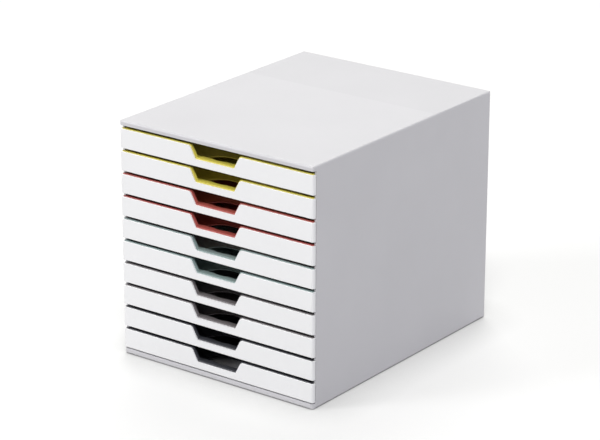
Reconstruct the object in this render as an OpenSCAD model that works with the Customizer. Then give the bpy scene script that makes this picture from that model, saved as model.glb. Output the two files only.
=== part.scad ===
// Desktop tower of flat drawers for A4 sheets. A one-piece moulded shell carries a rail for
// each drawer. Every drawer is a coloured tray whose front wall wears a white cap.
// Millimetres, +Z up. The origin is under the middle of the tower, and the fronts face -Y.

/* [Casing] */
// Width over the shell and over the drawer fronts
casing_w = 280; // [250:1:320]
// Depth from the drawer fronts to the back
casing_d = 356; // [320:1:400]
// Thickness of the shell's side walls
side_t = 2.6; // [2:0.1:3.2]
// Thickness of the shell's top
top_t = 3; // [2:0.1:4]
// Height of the band along the front of the top
band_h = 5.8; // [5:0.1:9]
// Thickness of that band
band_t = 3; // [2:0.1:5]
// Rounding of the shell's vertical corners
shell_corner_r = 2.5; // [1:0.1:3]
// Rounding of the shell's upper edges
top_edge_r = 2; // [0.5:0.1:2.5]
// Rounding of the lower outside edges
bottom_edge_r = 1.2; // [0.4:0.1:2]
// Distance from the fronts to the fine step across the top
top_step_at = 240; // [160:1:300]
// Height of that step
top_step = 0.3; // [0.2:0.1:0.6]
// Thickness of the back panel
back_t = 2.4; // [1.8:0.1:4]
// Width of the back panel's raised border
back_border = 14; // [8:1:30]
// Depth of the field inside the border
back_recess = 0.6; // [0.3:0.1:1]

/* [Base and feet] */
// Height of the base panel
base_h = 5.8; // [5:0.1:9]
// Thickness of the base panel's plate
base_t = 2.2; // [1.6:0.1:3]
// Thickness of the skirt round the base panel
skirt_t = 2.4; // [1.6:0.1:4]
// Rounding of the base panel's front corners
base_corner_r = 5; // [2:0.1:5]
// Rounding of the base panel's upper front edge
base_lip_r = 0.3; // [0.2:0.1:0.8]
// Thickness of the ribs under the base panel
rib_t = 1.6; // [1.2:0.1:2.4]
// Widest gap between two ribs
rib_gap = 34; // [24:1:40]
// Diameter of a rubber foot
foot_d = 16; // [10:0.5:24]
// Height that a foot stands out below the base panel
foot_show = 1.2; // [0.8:0.1:4]
// Depth that a foot sits in its socket
foot_sink = 1.8; // [1:0.1:2.4]
// Rounding of a foot's lower rim
foot_rim_r = 0.8; // [0.3:0.1:1]
// Radial clearance of a foot in its socket
foot_fit = 0.2; // [0.1:0.05:0.4]
// Wall round a foot's socket
socket_wall = 2.2; // [1.6:0.1:4]
// Distance from the outside faces to a foot's axis
foot_inset = 24; // [18:1:40]

/* [Rails] */
// Distance from one drawer to the next
pitch = 27.76; // [26:0.1:36]
// Reach of a rail from the side wall
rail_w = 5.5; // [4:0.1:7]
// Thickness of a rail
rail_t = 1.8; // [1.4:0.1:2]
// Distance from the fronts to the rails' front ends
rail_setback = 9; // [8:0.5:20]
// Rounding of a rail's front corner
rail_lead_r = 4; // [1:0.5:5]
// Running clearance between a tray's floor and its rails
run_gap = 0.26; // [0.2:0.02:0.4]
// Running clearance between a tray and each side wall
side_gap = 0.8; // [0.4:0.1:1.2]

/* [Drawer stop] */
// Height of the stop nub under a rail
nub_h = 2.4; // [2:0.1:3]
// Length of the stop nub
nub_len = 4; // [3:0.5:8]
// Width of the stop nub
nub_w = 2.5; // [1.5:0.1:3.5]
// Distance from the fronts to the stop nubs
nub_setback = 12; // [10:0.5:24]
// Height of the stop lug on a tray's side wall
lug_h = 1.9; // [1.4:0.1:2]
// Length of the stop lug
lug_len = 8; // [4:0.5:14]
// Clearance between a tray's side wall and the nub above it
nub_gap = 0.5; // [0.3:0.1:0.8]
// Travel of a drawer from closed to its stop
travel = 240; // [180:1:260]
// Clearance left at the stop when a drawer is at the end of its travel
stop_gap = 0.3; // [0.2:0.1:0.6]

/* [Tray] */
// Thickness of a tray's floor
floor_t = 1.8; // [1.2:0.1:2.4]
// Thickness of a tray's walls
tray_t = 1.6; // [1.2:0.1:2.4]
// Clearance between a tray and the back panel
rear_gap = 1.6; // [1:0.1:6]
// Rounding between a tray's floor and its walls
floor_r = 3; // [1:0.5:6]
// Rounding of a tray's inside corners, seen from above
tray_corner_r = 5; // [2:0.5:10]
// Rounding of a tray's rear corners outside, seen from above
tray_rear_r = 6.6; // [2:0.1:12]
// Distance from the front plane to the back of a tray's front wall
frame_depth = 5.2; // [4.6:0.1:7]
// Clearance between a closed front and the side walls' edges
face_gap = 0.4; // [0.3:0.1:1]
// Number of stiffening ribs on each side of a front wall
frame_ribs = 3; // [1:1:5]

/* [White front] */
// Thickness of the white cap
cap_t = 1.8; // [1.2:0.1:2.4]
// Gap between one white cap and the next
cap_gap = 4.1; // [3.4:0.1:5]
// Height of a cap's lower edge above its rails' underside
cap_lift = 1.6; // [1:0.1:2]
// Distance that a cap's side returns end short of the front wall's back
return_short = 0.4; // [0.2:0.1:1]
// Rounding of the cap's vertical corners
cap_corner_r = 3; // [2:0.1:4]
// Rounding of the cap's upper and lower edges
cap_edge_r = 0.5; // [0.3:0.1:0.8]

/* [Grip] */
// Width of the grip notch at a front's upper edge
notch_top_w = 72.6; // [60:0.2:110]
// Width of the grip notch at its lower edge
notch_floor_w = 56.4; // [40:0.2:70]
// Depth of the grip notch, from the upper edge down
notch_h = 15.3; // [10:0.1:16]
// Rounding of the notch's lower corners
notch_floor_r = 2; // [1.4:0.1:4]
// Rounding of the notch's upper corners
notch_lip_r = 3.5; // [1:0.1:5]
// Height of coloured rim that shows above a white cap and round its notch
rim_show = 0.9; // [0.4:0.1:1.2]
// Distance from the front plane to the ledge's inner edge
ledge_depth = 9.9; // [9:0.1:16]
// Width of the ledge
ledge_w = 70; // [68:0.5:90]
// Thickness of the ledge
ledge_t = 1.6; // [1.2:0.1:2.4]
// Rounding of the ledge's inner corners
ledge_corner_r = 3; // [1:0.1:4]
// Width of the finger scallop in the ledge's inner edge
scallop_w = 20; // [10:0.5:30]
// Depth of that scallop
scallop_h = 1.7; // [0.5:0.1:2.5]
// Distance from the front plane to the finger hole's far edge
hole_depth = 43.6; // [32:0.1:50]
// Width of the finger hole in the floor
hole_w = 67; // [50:0.5:67]
// Rounding of the finger hole's far corners
hole_corner_r = 22; // [6:0.5:22]

/* [Hidden] */
$fn = 64;
drawer_count = 10;
lap = 1;                                    // overrun of a cut past the face that it leaves
front_y = -casing_d / 2;                    // front plane of the drawers
wall_from = frame_depth + face_gap;         // front edge of the side walls, from the front plane
inner_w = casing_w - 2 * side_t;            // clear width between the side walls
base_top = foot_show + base_h;              // underside of the lowest rails
stack_top = base_top + drawer_count * pitch;
band_z = stack_top + cap_lift;              // lower edge of the band on the top
casing_h = band_z + band_h;
back_from = casing_d - back_t;              // inner face of the back panel
tray_w = inner_w - 2 * side_gap;
tray_z = rail_t + run_gap;                  // underside of a tray above its rails' underside
tray_top = pitch - nub_h - nub_gap;         // top of a tray's side walls above the same level
tray_end = back_from - rear_gap;
floor_z = tray_z + floor_t;
cap_h = pitch - cap_gap;
cap_top = cap_lift + cap_h;
frame_w = casing_w - 2 * cap_t;
web_from = frame_depth - tray_t;            // front face of the front wall's web
notch_z = cap_top - notch_h;                // lower edge of the notch in a white cap
ledge_top = notch_z + rim_show;
cheek = (notch_top_w - notch_floor_w) / 2 / notch_h;  // run of a cheek sideways, per mm up
lean = atan(cheek);                         // lean of the notch's cheeks from upright
lug_from = nub_setback + nub_len + travel + stop_gap;
foot_x = casing_w / 2 - foot_inset;
foot_ys = [foot_inset, casing_d - foot_inset];
tray_colours = ["#c8b840", "#be504b", "#82a09b", "#6e696b", "#3c3d43"];
casing_colour = "#cbc9cc";

function two_digits(n) = str(n < 10 ? "0" : "", n);
function tray_name(n) = str("drawer_tray_", two_digits(n));
function cap_name(n) = str("drawer_front_", two_digits(n));
function slot_z(n) = base_top + (drawer_count - n) * pitch;
function tray_colour(n) = tray_colours[floor((n - 1) / 2)];

// Outline in plan: centred across, from 0 to d in depth, with round front and rear corners.
module plan_outline(w, d, front_r, rear_r) {
    translate([-w / 2, front_r]) square([w, d - front_r - rear_r]);
    translate([-w / 2 + front_r, 0]) square([w - 2 * front_r, d - rear_r]);
    translate([-w / 2 + rear_r, front_r]) square([w - 2 * rear_r, d - front_r]);
    for (side = [-1, 1]) {
        if (front_r > 0) translate([side * (w / 2 - front_r), front_r]) circle(front_r);
        if (rear_r > 0) translate([side * (w / 2 - rear_r), d - rear_r]) circle(rear_r);
    }
}

// Stands a flat outline up, so that its second axis becomes height, and runs it back from y0.
module upright(y0, y1) {
    translate([0, y1, 0]) rotate([90, 0, 0]) linear_extrude(y1 - y0) children();
}

// Runs an outline of depth and height across the tower.
module across(w) {
    translate([-w / 2, 0, 0]) rotate([90, 0, 90]) linear_extrude(w) children();
}

// Upright outline centred across, from z0 to z1, with its own roundings below and above.
module face_outline(w, z0, z1, low_r, high_r) {
    translate([0, z0]) plan_outline(w, z1 - z0, low_r, high_r);
}

// Outline of depth and height with its front edges rounded.
module edge_outline(d, z0, z1, low_r, high_r) {
    translate([0, z0 + low_r]) square([d, z1 - z0 - low_r - high_r]);
    translate([low_r, z0]) square([d - low_r, z1 - z0 - high_r]);
    translate([high_r, z0 + low_r]) square([d - high_r, z1 - z0 - low_r]);
    translate([low_r, z0 + low_r]) circle(low_r);
    translate([high_r, z1 - high_r]) circle(high_r);
}

// The space of the grip notch, drawn in by inset, with round lower corners and round lips.
module notch_outline(inset) {
    low_z = notch_z + inset;
    high_z = cap_top + inset;
    low_r = notch_floor_r - inset;
    high_r = notch_lip_r + inset;
    low_x = notch_floor_w / 2 + inset * cheek - inset / cos(lean);
    high_x = notch_top_w / 2 + inset * cheek - inset / cos(lean);
    low_run = low_r * (1 - sin(lean)) / cos(lean);
    high_run = high_r * (1 - sin(lean)) / cos(lean);
    floor_x = low_x + low_run * sin(lean) - low_r * cos(lean);
    lip_x = high_x - high_run * sin(lean) + high_r * cos(lean);
    difference() {
        for (side = [-1, 1]) polygon([
            [0, low_z],
            [side * floor_x, low_z],
            [side * (low_x + low_run * sin(lean)), low_z + low_run * cos(lean)],
            [side * (high_x - high_run * sin(lean)), high_z - high_run * cos(lean)],
            [side * lip_x, high_z],
            [side * lip_x, high_z + lap],
            [0, high_z + lap]
        ]);
        for (side = [-1, 1]) translate([side * lip_x, high_z - high_r]) circle(high_r);
    }
    for (side = [-1, 1]) translate([side * floor_x, low_z + low_r]) circle(low_r);
}

// One-piece shell: top, both sides, the rails and the stop nubs.
module casing_shell() {
    color(casing_colour) translate([0, front_y, 0]) {
        difference() {
            intersection() {
                union() {
                    translate([0, 0, band_z]) linear_extrude(band_h)
                        plan_outline(casing_w, casing_d, shell_corner_r, shell_corner_r);
                    shell_sides();
                }
                upright(0, casing_d)
                    face_outline(casing_w, foot_show, casing_h, bottom_edge_r, top_edge_r);
                across(casing_w) shell_run();
            }
            translate([-inner_w / 2, band_t, band_z - lap])
                cube([inner_w, casing_d, band_h - top_t + lap]);
            translate([-casing_w / 2, top_step_at, casing_h - top_step])
                cube([casing_w, casing_d, lap]);
        }
        for (level = [0:drawer_count]) for (side = [0, 1]) mirror([side, 0, 0])
            translate([inner_w / 2, 0, base_top + level * pitch]) {
                rail();
                if (level > 0) stop_nub();
            }
    }
}

module shell_sides() {
    difference() {
        linear_extrude(casing_h - top_edge_r)
            plan_outline(casing_w, casing_d, shell_corner_r, shell_corner_r);
        translate([-inner_w / 2, -lap, -lap]) cube([inner_w, casing_d + 2 * lap, casing_h]);
        translate([-casing_w, -lap, -lap]) cube([2 * casing_w, wall_from + lap, band_z + lap]);
    }
}

// Side view of the shell, with the top's front and rear edges rounded.
module shell_run() {
    square([casing_d, casing_h - top_edge_r]);
    translate([top_edge_r, 0]) square([casing_d - 2 * top_edge_r, casing_h]);
    for (y = [top_edge_r, casing_d - top_edge_r]) translate([y, casing_h - top_edge_r]) circle(top_edge_r);
}

// A rail reaches in from the side wall and back to the back panel.
module rail() {
    linear_extrude(rail_t) {
        translate([-rail_w, rail_setback + rail_lead_r])
            square([rail_w + side_t / 2, back_from - rail_setback - rail_lead_r]);
        translate([-rail_w + rail_lead_r, rail_setback])
            square([rail_w + side_t / 2 - rail_lead_r, back_from - rail_setback]);
        translate([-rail_w + rail_lead_r, rail_setback + rail_lead_r]) circle(rail_lead_r);
    }
}

// The nub under a rail, which a drawer's lug meets at the end of its travel.
module stop_nub() {
    translate([-nub_w, nub_setback, -nub_h]) cube([nub_w + lap, nub_len, nub_h + lap]);
}

// Back panel: stands on the base panel between the side walls, under the top.
module back_panel() {
    back_h = casing_h - top_t - base_top;
    color(casing_colour) translate([0, front_y + back_from, base_top]) difference() {
        translate([-inner_w / 2, 0, 0]) cube([inner_w, back_t, back_h]);
        translate([-inner_w / 2 + back_border, back_t - back_recess, back_border])
            cube([inner_w - 2 * back_border, back_recess + lap, back_h - 2 * back_border]);
    }
}

// Base panel: plate between the side walls with a band across the front, ribbed underneath.
module base_panel() {
    inner_d = casing_d - 2 * skirt_t;
    columns = ceil((inner_w - 2 * skirt_t + rib_t) / (rib_gap + rib_t));
    rows = ceil((inner_d + rib_t) / (rib_gap + rib_t));
    cell_w = (inner_w - 2 * skirt_t + rib_t) / columns - rib_t;
    cell_d = (inner_d + rib_t) / rows - rib_t;
    color(casing_colour) translate([0, front_y, 0]) difference() {
        union() {
            difference() {
                intersection() {
                    translate([0, 0, foot_show]) linear_extrude(base_h) {
                        intersection() {
                            plan_outline(casing_w, casing_d, base_corner_r, 0);
                            translate([-casing_w / 2, 0]) square([casing_w, wall_from]);
                        }
                        translate([-inner_w / 2, wall_from / 2])
                            square([inner_w, casing_d - wall_from / 2]);
                    }
                    across(casing_w)
                        edge_outline(casing_d, foot_show, base_top, bottom_edge_r, base_lip_r);
                }
                for (column = [0:columns - 1]) for (row = [0:rows - 1]) translate([
                    -inner_w / 2 + skirt_t + column * (cell_w + rib_t),
                    skirt_t + row * (cell_d + rib_t),
                    foot_show - lap
                ]) cube([cell_w, cell_d, base_h - base_t + lap]);
            }
            for (side = [-1, 1]) for (y = foot_ys) translate([side * foot_x, y, foot_show])
                cylinder(r = foot_d / 2 + foot_fit + socket_wall, h = base_h - base_t / 2);
        }
        for (side = [-1, 1]) for (y = foot_ys) translate([side * foot_x, y, foot_show - lap])
            cylinder(r = foot_d / 2 + foot_fit, h = foot_sink + lap);
    }
}

// A round rubber foot, its lower rim rounded.
module foot(side, y) {
    color("#4a4a4c") translate([side * foot_x, front_y + y, 0]) rotate_extrude() {
        translate([0, foot_rim_r]) square([foot_d / 2, foot_show + foot_sink - foot_rim_r]);
        square([foot_d / 2 - foot_rim_r, foot_show + foot_sink]);
        translate([foot_d / 2 - foot_rim_r, foot_rim_r]) circle(foot_rim_r);
    }
}

// Coloured tray of drawer n: tub, front wall with its rim, ledge and stop lugs.
module drawer_tray(n) {
    color(tray_colour(n)) translate([0, front_y, slot_z(n)]) {
        difference() {
            union() {
                translate([0, web_from, tray_z]) linear_extrude(tray_top - tray_z)
                    plan_outline(tray_w, tray_end - web_from, 0, tray_rear_r);
                translate([0, cap_t, tray_z]) linear_extrude(cap_top - tray_z)
                    plan_outline(frame_w, frame_depth - cap_t, cap_corner_r - cap_t, 0);
                translate([0, cap_t, cap_top - lap]) linear_extrude(rim_show + lap)
                    plan_outline(frame_w, tray_t, cap_corner_r - cap_t, 0);
            }
            tub_space();
            frame_pockets();
            finger_hole();
            upright(0, frame_depth + lap) notch_outline(rim_show);
        }
        ledge();
        for (side = [0, 1]) mirror([side, 0, 0])
            translate([tray_w / 2 - tray_t, lug_from, tray_top - lap]) cube([tray_t, lug_len, lug_h + lap]);
    }
}

// The space inside a tray, rounded along the floor and in the corners.
module tub_space() {
    space_w = tray_w - 2 * tray_t;
    space_d = tray_end - tray_t - frame_depth;
    translate([0, frame_depth, 0]) intersection() {
        linear_extrude(pitch + lap) plan_outline(space_w, space_d, tray_corner_r, tray_corner_r);
        upright(0, space_d) face_outline(space_w, floor_z, pitch + lap, floor_r, 0);
        across(space_w) translate([space_d / 2, floor_z])
            plan_outline(space_d, pitch + lap - floor_z, floor_r, 0);
    }
}

// Hollows in the front wall behind the cap, leaving a rim all round, a web and ribs.
module frame_pockets() {
    rim = tray_t;
    cheek_rim = (rim - rim_show) / cos(lean);
    low = tray_z + rim;
    high = cap_top - rim;
    under_ledge = ledge_top - ledge_t;
    end_x = frame_w / 2 - rim;
    start_x = notch_top_w / 2 - rim * cheek + cheek_rim;
    difference() {
        upright(cap_t - lap, web_from) for (side = [-1, 1]) polygon([
            [0, low],
            [side * end_x, low],
            [side * end_x, high],
            [side * start_x, high],
            [side * (notch_floor_w / 2 + (rim_show - ledge_t) * cheek + cheek_rim), under_ledge],
            [0, under_ledge]
        ]);
        for (side = [-1, 1]) for (rib = [1:frame_ribs])
            translate([
                side * (start_x + (end_x - start_x) * rib / (frame_ribs + 1)) - rim / 2,
                -lap,
                0
            ]) cube([rim, frame_depth + 2 * lap, pitch]);
    }
}

// Ledge behind the notch, which the fingers pull on, with the cheeks that carry its ends.
module ledge() {
    scallop_r = (scallop_w * scallop_w / 4 + scallop_h * scallop_h) / (2 * scallop_h);
    translate([0, web_from, ledge_top - ledge_t]) difference() {
        linear_extrude(ledge_t) plan_outline(ledge_w, ledge_depth - web_from, 0, ledge_corner_r);
        translate([0, ledge_depth - web_from - scallop_h + scallop_r, -lap])
            cylinder(r = scallop_r, h = ledge_t + 2 * lap);
    }
    for (side = [0, 1]) mirror([side, 0, 0])
        translate([hole_w / 2, web_from, floor_z - floor_t / 2]) cube([
            (ledge_w - hole_w) / 2,
            ledge_depth - ledge_corner_r - web_from,
            ledge_top - ledge_t / 2 - (floor_z - floor_t / 2)
        ]);
}

// Finger hole in the floor, from the front wall back, with wide round corners behind.
module finger_hole() {
    translate([0, frame_depth, tray_z - lap]) linear_extrude(floor_t + 2 * lap)
        plan_outline(hole_w, hole_depth - frame_depth, 0, hole_corner_r);
}

// White cap of drawer n: front plate with side returns round the tray's front wall.
module drawer_front(n) {
    cap_depth = frame_depth - return_short;
    color("#ececee") translate([0, front_y, slot_z(n)]) difference() {
        intersection() {
            linear_extrude(pitch) plan_outline(casing_w, cap_depth, cap_corner_r, 0);
            across(casing_w) edge_outline(cap_depth, cap_lift, cap_top, cap_edge_r, cap_edge_r);
        }
        translate([0, cap_t, -lap]) linear_extrude(pitch + 2 * lap)
            plan_outline(frame_w, frame_depth, cap_corner_r - cap_t, 0);
        upright(-lap, cap_t + lap) notch_outline(0);
    }
}

casing_shell();
back_panel();
base_panel();
foot(-1, foot_ys[0]);  // foot_front_left
foot(1, foot_ys[0]);  // foot_front_right
foot(-1, foot_ys[1]);  // foot_rear_left
foot(1, foot_ys[1]);  // foot_rear_right
for (n = [1:drawer_count]) {
    drawer_tray(n);
    drawer_front(n);
}
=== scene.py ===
# Desktop tower of ten drawers: a light grey moulded shell, white fronts and coloured trays.
import math

import bpy
from mathutils import Euler, Matrix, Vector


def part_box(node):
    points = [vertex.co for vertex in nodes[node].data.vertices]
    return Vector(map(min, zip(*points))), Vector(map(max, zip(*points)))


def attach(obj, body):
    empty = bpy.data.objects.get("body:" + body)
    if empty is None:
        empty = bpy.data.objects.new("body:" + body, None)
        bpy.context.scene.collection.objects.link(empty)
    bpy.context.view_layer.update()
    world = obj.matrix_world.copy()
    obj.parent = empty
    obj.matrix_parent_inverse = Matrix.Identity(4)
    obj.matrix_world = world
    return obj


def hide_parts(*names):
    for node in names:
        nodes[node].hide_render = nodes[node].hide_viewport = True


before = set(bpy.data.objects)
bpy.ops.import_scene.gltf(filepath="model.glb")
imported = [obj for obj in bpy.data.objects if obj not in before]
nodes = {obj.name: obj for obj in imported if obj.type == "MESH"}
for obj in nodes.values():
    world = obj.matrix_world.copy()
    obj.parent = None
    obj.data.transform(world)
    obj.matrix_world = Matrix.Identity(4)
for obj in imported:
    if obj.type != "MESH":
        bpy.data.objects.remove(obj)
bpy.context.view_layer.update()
bpy.ops.object.select_all(action="DESELECT")
print("frame loaded:", len(nodes), "nodes")


# The camera stands at the photograph's own viewpoint.
cameraValues = {
    "place": (1.78105, -2.39058, 1.2328),  # metres, from the solve of the casing's edges
    "azimuth": 36.873,  # degrees round from the front
    "elevation": 19.998,
    "roll": 0.121,
    "lens": 159.17,  # millimetres, on a sensor of this width
    "sensor": 36,
    "farthest": 40,  # metres that it sees
}


def addCamera(values):
    data = bpy.data.cameras.new("photoCamera")
    data.sensor_width = values["sensor"]
    data.sensor_fit = "HORIZONTAL"
    data.lens = values["lens"]
    data.clip_end = values["farthest"]
    camera = bpy.data.objects.new("photoCamera", data)
    bpy.context.collection.objects.link(camera)
    turn = Euler((math.radians(90 - values["elevation"]), 0, math.radians(values["azimuth"])))
    roll = Matrix.Rotation(math.radians(values["roll"]), 3, "Z")
    camera.matrix_world = Matrix.Translation(values["place"]) @ (turn.to_matrix() @ roll).to_4x4()
    bpy.context.scene.camera = camera


addCamera(cameraValues)
print("camera placed")


def linear(code):  # sRGB hex to the linear colour that a shader takes
    parts = [int(code[i : i + 2], 16) / 255 for i in (1, 3, 5)]
    return [c / 12.92 if c <= 0.04045 else ((c + 0.055) / 1.055) ** 2.4 for c in parts] + [1]


def addNode(tree, kind, settings=None, inputs=None, links=None):
    node = tree.nodes.new("ShaderNode" + kind)
    for key, value in (settings or {}).items():
        setattr(node, key, value)
    for key, value in (inputs or {}).items():
        node.inputs[key].default_value = value
    for key, (source, output) in (links or {}).items():
        tree.links.new(source.outputs[output], node.inputs[key])
    return node


def newTree(name):
    material = bpy.data.materials.new(name)
    material.use_nodes = True
    material.node_tree.nodes.clear()
    return material, material.node_tree


def perMetre(millimetres):  # a texture's scale for features of that size
    return 1000 / millimetres


# What all the moulded surfaces have in common.
mouldValues = {
    "noiseRange": (0.3, 0.7),  # where nearly all of a noise's values lie
    "flowDetail": 3,
    "flowFineness": 0.5,
    "grainDetail": 2,
    "grainFineness": 0.6,
    "grainDepth": 0.00002,  # metres
    "glossSpread": 0.04,  # how far the roughness strays either way
    "ior": 1.59,  # that of polystyrene, and the rubber of the feet is close to it
}
shellValues = {
    "colour": "#cbcace",
    "shade": "#c8c7cb",
    "roughness": 0.42,
    "bump": 0.3,
    "grainMm": 0.6,  # coarser than the real grain, which would be too fine to show
    "flowMm": 90,
    "rearFrom": 0.062,  # metres behind the middle, where the step across the top lies
    "rearAbove": 0.29,  # only the top is as high as this
    # how much darker the top behind the step is painted: a painted shade
    "rearPaintedShade": 0.965,
}
footValues = {
    "colour": "#3c3c3e",
    "shade": "#353537",
    "roughness": 0.8,
    "bump": 0.5,
    "grainMm": 0.5,
    "flowMm": 8,
}


# Behind the step across it the top is painted slightly darker: a painted shade for how the light falls
# there.
def paintRearShade(tree, place, ramp, values):
    axes = addNode(tree, "SeparateXYZ", links={"Vector": (place, "Object")})
    behind = addNode(tree, "Math", {"operation": "GREATER_THAN"}, {1: values["rearFrom"]}, {0: (axes, "Y")})
    above = addNode(tree, "Math", {"operation": "GREATER_THAN"}, {1: values["rearAbove"]}, {0: (axes, "Z")})
    both = addNode(tree, "Math", {"operation": "MULTIPLY"},
                   links={0: (behind, "Value"), 1: (above, "Value")})
    tone = addNode(tree, "MapRange", inputs={"To Min": 1, "To Max": values["rearPaintedShade"]},
                   links={"Value": (both, "Value")})
    return addNode(tree, "VectorMath", {"operation": "SCALE"},
                   links={0: (ramp, "Color"), "Scale": (tone, "Result")})


# Polystyrene, and the rubber of the feet, moulded in a spark-eroded tool: an even, fine matt grain
# that spreads the gloss, with the faint broad unevenness of colour that flow in the tool leaves.
def mouldedSurface(name, values):
    material, tree = newTree(name)
    lowNoise, highNoise = mouldValues["noiseRange"]
    place = addNode(tree, "TexCoord")
    flow = addNode(tree, "TexNoise",
                   inputs={"Scale": perMetre(values["flowMm"]), "Detail": mouldValues["flowDetail"],
                           "Roughness": mouldValues["flowFineness"]},
                   links={"Vector": (place, "Object")})
    grain = addNode(tree, "TexNoise",
                    inputs={"Scale": perMetre(values["grainMm"]), "Detail": mouldValues["grainDetail"],
                            "Roughness": mouldValues["grainFineness"]},
                    links={"Vector": (place, "Object")})
    ramp = addNode(tree, "ValToRGB", links={"Fac": (flow, "Fac")})
    ramp.color_ramp.elements[0].position = lowNoise
    ramp.color_ramp.elements[0].color = linear(values["shade"])
    ramp.color_ramp.elements[1].position = highNoise
    ramp.color_ramp.elements[1].color = linear(values["colour"])
    rough = addNode(tree, "MapRange",
                    inputs={"From Min": lowNoise, "From Max": highNoise,
                            "To Min": values["roughness"] - mouldValues["glossSpread"],
                            "To Max": values["roughness"] + mouldValues["glossSpread"]},
                    links={"Value": (grain, "Fac")})
    bump = addNode(tree, "Bump",
                   inputs={"Strength": values["bump"], "Distance": mouldValues["grainDepth"]},
                   links={"Height": (grain, "Fac")})
    colour = (ramp, "Color")
    # the shell's top behind the step gets a painted shade
    if "rearPaintedShade" in values:
        colour = (paintRearShade(tree, place, ramp, values), "Vector")
    shader = addNode(tree, "BsdfPrincipled", inputs={"IOR": mouldValues["ior"]},
                     links={"Base Color": colour, "Roughness": (rough, "Result"),
                            "Normal": (bump, "Normal")})
    addNode(tree, "OutputMaterial", links={"Surface": (shader, "BSDF")})
    return material


def dress(names, material):
    for name in names:
        for holder in nodes[name].material_slots:
            holder.material = material


dress(["casing_shell", "back_panel", "base_panel"], mouldedSurface("shellPolystyrene", shellValues))
dress([name for name in nodes if name.startswith("foot_")], mouldedSurface("footRubber", footValues))
print("casing and feet dressed")


# The trays and caps are copies of their CAD solids. Their edges get the small radius that a mould
# leaves, so that they catch the light, and a few faces are moved to where the photograph has them.
# Places are in metres, from the front plane backwards and from the foot of the white cap upwards.
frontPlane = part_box("drawer_front_01")[0][1]
edgeValues = {
    "weld": 0.000002,  # metres within which two points are one
    "flat": 1,  # degrees up to which two faces are joined
    "sharp": 35,  # degrees from which an edge is softened
}
trayValues = {
    "edgeRadius": 0.00025,
    "edgeSegments": 2,
    "ledgeHalf": 0.0365,  # the ledge lies within this of the middle
    "ledgeReach": 0.0102,
    "ledgeMarks": [(0.0077, 0.0077), (0.00926, 0.00996), (0.0144, 0.0144)],  # its top rises 0.7 mm
    "rimReach": 0.0053,  # the coloured rim that runs over the cap
    "rimMarks": [(0.02368, 0.02368), (0.02456, 0.02416), (0.02457, 0.02417)],  # its top sinks 0.4 mm
    "holeCorner": (0.0115, 0.0216),  # the middle of a far corner, from the centre and from the front
    "holeRadius": 0.022,
    "holeSlack": 0.0003,  # how far a point may be off that radius
    "holeUndercut": 0.0025,  # how far the far wall leans back
    "undersideBelow": 0.0008,  # of the tray's points only its underside's are as low as this
    "footWidth": 0.054,
    "footBlocks": [  # from and to backwards, from and to upwards
        (0.0018, 0.0036, 0.00046, 0.00206),
        (0.0036, 0.0052, 0.00046, 0.0034),
    ],
    "surface": {"roughness": 0.4, "bump": 0.25, "grainMm": 0.6, "flowMm": 70},
    "colours": {  # two drawers of each, from the top down: the colour and its shade
        "yellow": ("#d8cb57", "#d3c652"),
        "red": ("#b25851", "#ad534d"),
        "greenGrey": ("#8ea09f", "#8a9c9b"),
        "taupe": ("#746f71", "#706b6d"),
        "anthracite": ("#404147", "#3c3d43"),
    },
}
capValues = {
    "edgeRadius": 0.0003,
    "edgeSegments": 3,
    "edgeMarks": [(0, 0.0004), (0.0005, 0.0011), (0.004, 0.004)],  # down from its top, which sinks 0.4 mm
    "surface": {"colour": "#eeeef0", "shade": "#ececee", "roughness": 0.38, "bump": 0.25,
                "grainMm": 0.6, "flowMm": 90},
}


def along(value, marks):  # follows straight steps between the marks, each a pair of from and to
    for (low, newLow), (high, newHigh) in zip(marks, marks[1:]):
        if low <= value <= high:
            return newLow + (value - low) * (newHigh - newLow) / (high - low)
    return value


def raiseLedge(mesh, capLow, values):
    marks = [(capLow + height, capLow + raised) for height, raised in values["ledgeMarks"]]
    for vertex in mesh.vertices:
        if abs(vertex.co.x) < values["ledgeHalf"] and vertex.co.y < frontPlane + values["ledgeReach"]:
            vertex.co.z = along(vertex.co.z, marks)


def lowerRim(mesh, capLow, values):
    marks = [(capLow + height, capLow + lowered) for height, lowered in values["rimMarks"]]
    for vertex in mesh.vertices:
        if vertex.co.y < frontPlane + values["rimReach"]:
            vertex.co.z = along(vertex.co.z, marks)


def undercutHole(mesh, capLow, values):  # the hole's far edge is thin, so that no wall shows below it
    cornerAcross, cornerBack = values["holeCorner"]
    radius = values["holeRadius"]
    for vertex in mesh.vertices:
        across = max(0, abs(vertex.co.x) - cornerAcross)
        back = vertex.co.y - frontPlane - cornerBack
        onEdge = back > 0 and abs(math.hypot(across, back) - radius) < values["holeSlack"]
        if onEdge and vertex.co.z < capLow + values["undersideBelow"]:
            lean = values["holeUndercut"] * back / radius
            vertex.co.y += lean * back / radius
            vertex.co.x += math.copysign(lean * across / radius, vertex.co.x)


def makeActive(piece):
    bpy.ops.object.select_all(action="DESELECT")
    piece.select_set(True)
    bpy.context.view_layer.objects.active = piece


def fillWallFoot(piece, capLow, values):  # closes the foot of the front wall before the finger hole
    for near, far, low, high in values["footBlocks"]:
        middle = (0, frontPlane + (near + far) / 2, capLow + (low + high) / 2)
        bpy.ops.mesh.primitive_cube_add(size=1, location=middle,
                                        scale=(values["footWidth"], far - near, high - low))
        block = bpy.context.object
        makeActive(piece)
        joined = piece.modifiers.new("foot", "BOOLEAN")
        joined.operation = "UNION"
        joined.solver = "EXACT"
        joined.object = block
        bpy.ops.object.modifier_apply(modifier="foot")
        bpy.data.objects.remove(block)


def shapeTray(piece, capLow, values):
    raiseLedge(piece.data, capLow, values)
    lowerRim(piece.data, capLow, values)
    undercutHole(piece.data, capLow, values)
    fillWallFoot(piece, capLow, values)


def shapeCap(piece, capTop, values):
    for vertex in piece.data.vertices:
        vertex.co.z = capTop - along(capTop - vertex.co.z, values["edgeMarks"])


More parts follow.
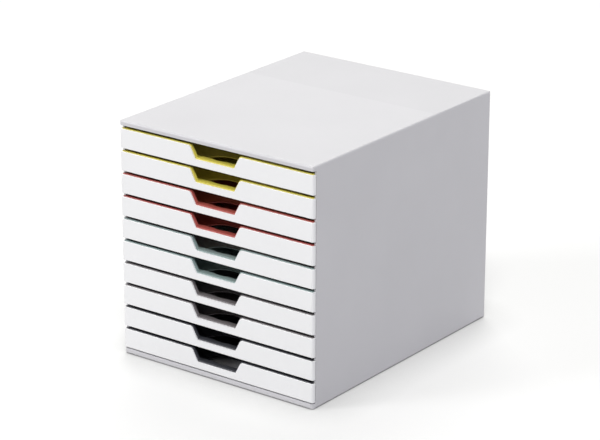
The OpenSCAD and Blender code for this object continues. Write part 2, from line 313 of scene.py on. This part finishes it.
def cleaned(piece, operation, **settings):
    makeActive(piece)
    bpy.ops.object.mode_set(mode="EDIT")
    bpy.ops.mesh.select_all(action="SELECT")
    operation(**settings)
    bpy.ops.object.mode_set(mode="OBJECT")


# A copy of a node's mesh, welded, shaped, with soft edges, that stands for the node.
def softened(nodeName, pieceName, body, values, material, shape, height):
    piece = bpy.data.objects.new(pieceName, nodes[nodeName].data.copy())
    bpy.context.collection.objects.link(piece)
    cleaned(piece, bpy.ops.mesh.remove_doubles, threshold=edgeValues["weld"])
    shape(piece, height, values)
    cleaned(piece, bpy.ops.mesh.remove_doubles, threshold=edgeValues["weld"])
    cleaned(piece, bpy.ops.mesh.dissolve_limited, angle_limit=math.radians(edgeValues["flat"]))
    bevel = piece.modifiers.new("edges", "BEVEL")
    bevel.width = values["edgeRadius"]
    bevel.segments = values["edgeSegments"]
    bevel.limit_method = "ANGLE"
    bevel.angle_limit = math.radians(edgeValues["sharp"])
    bpy.ops.object.modifier_apply(modifier="edges")
    bpy.ops.object.shade_smooth_by_angle(angle=math.radians(edgeValues["sharp"]))
    weighted = piece.modifiers.new("normals", "WEIGHTED_NORMAL")
    weighted.keep_sharp = True
    bpy.ops.object.modifier_apply(modifier="normals")
    piece.data.materials.clear()
    piece.data.materials.append(material)
    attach(piece, body)
    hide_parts(nodeName)
    return piece


white = mouldedSurface("whitePolystyrene", capValues["surface"])
for pair, (name, (colour, shade)) in enumerate(trayValues["colours"].items()):
    surface = dict(trayValues["surface"], colour=colour, shade=shade)
    plastic = mouldedSurface(name + "Polystyrene", surface)
    for number in (2 * pair + 1, 2 * pair + 2):
        body = f"drawer_{number:02d}"
        trayNode = f"drawer_tray_{number:02d}"
        capNode = f"drawer_front_{number:02d}"
        low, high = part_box(capNode)
        tray = softened(trayNode, f"tray{number:02d}", body, trayValues, plastic, shapeTray, low[2])
        cap = softened(capNode, f"cap{number:02d}", body, capValues, white, shapeCap, high[2])
print("drawers made")


# A plain white studio: to the camera the floor glows as a white sheet, and the glow is dimmed close to the
# object, a painted contact shadow; the object's shadow takes its share of the light off it.
floorValues = {
    "size": 14,
    "bounce": "#aaaaaa",  # the grey by which it throws light back on the object
    "glow": 0.43,
    "paintedShadowReach": 0.06,  # metres from the object within which the glow fades: a painted contact shadow
    "fadeSamples": 8,
    "shadow": 0.52,  # about as much of the light as the shadow takes off
}
skyValues = {
    "level": 0.28,
    "seen": 1,  # the camera and reflections see it white
}
sunValues = {  # degrees round from the front towards the right
    "highSun": {"level": 0.5, "tint": "#fffffb", "azimuth": 37, "elevation": 60, "spread": 20},
    "rightSun": {"level": 0.199, "tint": "#f1f1ff", "azimuth": 75, "elevation": 12, "spread": 20},
    "leftSun": {"level": 0.47, "tint": "#ffffff", "azimuth": -40, "elevation": 20, "spread": 20},
    "rearSun": {"level": 0.34, "tint": "#fffffb", "azimuth": 215, "elevation": 50, "spread": 30},
}


def addFloor(values):
    bpy.ops.mesh.primitive_plane_add(size=values["size"])
    floor = bpy.context.object
    floor.name = "floor"
    material, tree = newTree("paleFloor")
    rays = addNode(tree, "LightPath")
    grey = values["shadow"]
    shaded = addNode(tree, "BsdfDiffuse", inputs={"Color": (grey, grey, grey, 1)})
    # painted contact shadow: the floor's glow fades close to the object
    near = addNode(tree, "AmbientOcclusion", {"samples": values["fadeSamples"]},
                   inputs={"Distance": values["paintedShadowReach"]})
    dim = addNode(tree, "Math", {"operation": "MULTIPLY"}, {1: values["glow"]}, {0: (near, "AO")})
    glow = addNode(tree, "Emission", inputs={"Color": linear("#ffffff")},
                   links={"Strength": (dim, "Value")})
    seen = addNode(tree, "AddShader", links={0: (shaded, "BSDF"), 1: (glow, "Emission")})
    thrown = addNode(tree, "BsdfDiffuse", inputs={"Color": linear(values["bounce"])})
    mix = addNode(tree, "MixShader",
                  links={0: (rays, "Is Diffuse Ray"), 1: (seen, "Shader"), 2: (thrown, "BSDF")})
    addNode(tree, "OutputMaterial", links={"Surface": (mix, "Shader")})
    floor.data.materials.append(material)


def addSky(values):
    world = bpy.data.worlds.new("studio")
    bpy.context.scene.world = world
    world.use_nodes = True
    tree = world.node_tree
    tree.nodes.clear()
    rays = addNode(tree, "LightPath")
    lit = addNode(tree, "Background", inputs={"Color": linear("#ffffff"), "Strength": values["level"]})
    seen = addNode(tree, "Background", inputs={"Color": linear("#ffffff"), "Strength": values["seen"]})
    mix = addNode(tree, "MixShader",
                  links={0: (rays, "Is Diffuse Ray"), 1: (seen, "Background"), 2: (lit, "Background")})
    addNode(tree, "OutputWorld", links={"Surface": (mix, "Shader")})


def addSun(name, values):
    data = bpy.data.lights.new(name, "SUN")
    data.energy = values["level"] * math.pi  # at level 1 a surface that faces it shows its own colour
    data.color = linear(values["tint"])[:3]
    data.angle = math.radians(values["spread"])
    sun = bpy.data.objects.new(name, data)
    bpy.context.collection.objects.link(sun)
    turn = (math.radians(90 - values["elevation"]), 0, math.radians(values["azimuth"]))
    sun.rotation_euler = Euler(turn)


addFloor(floorValues)
addSky(skyValues)
for name, values in sunValues.items():
    addSun(name, values)
bpy.context.scene.view_settings.view_transform = "Standard"
print("floor and light set")
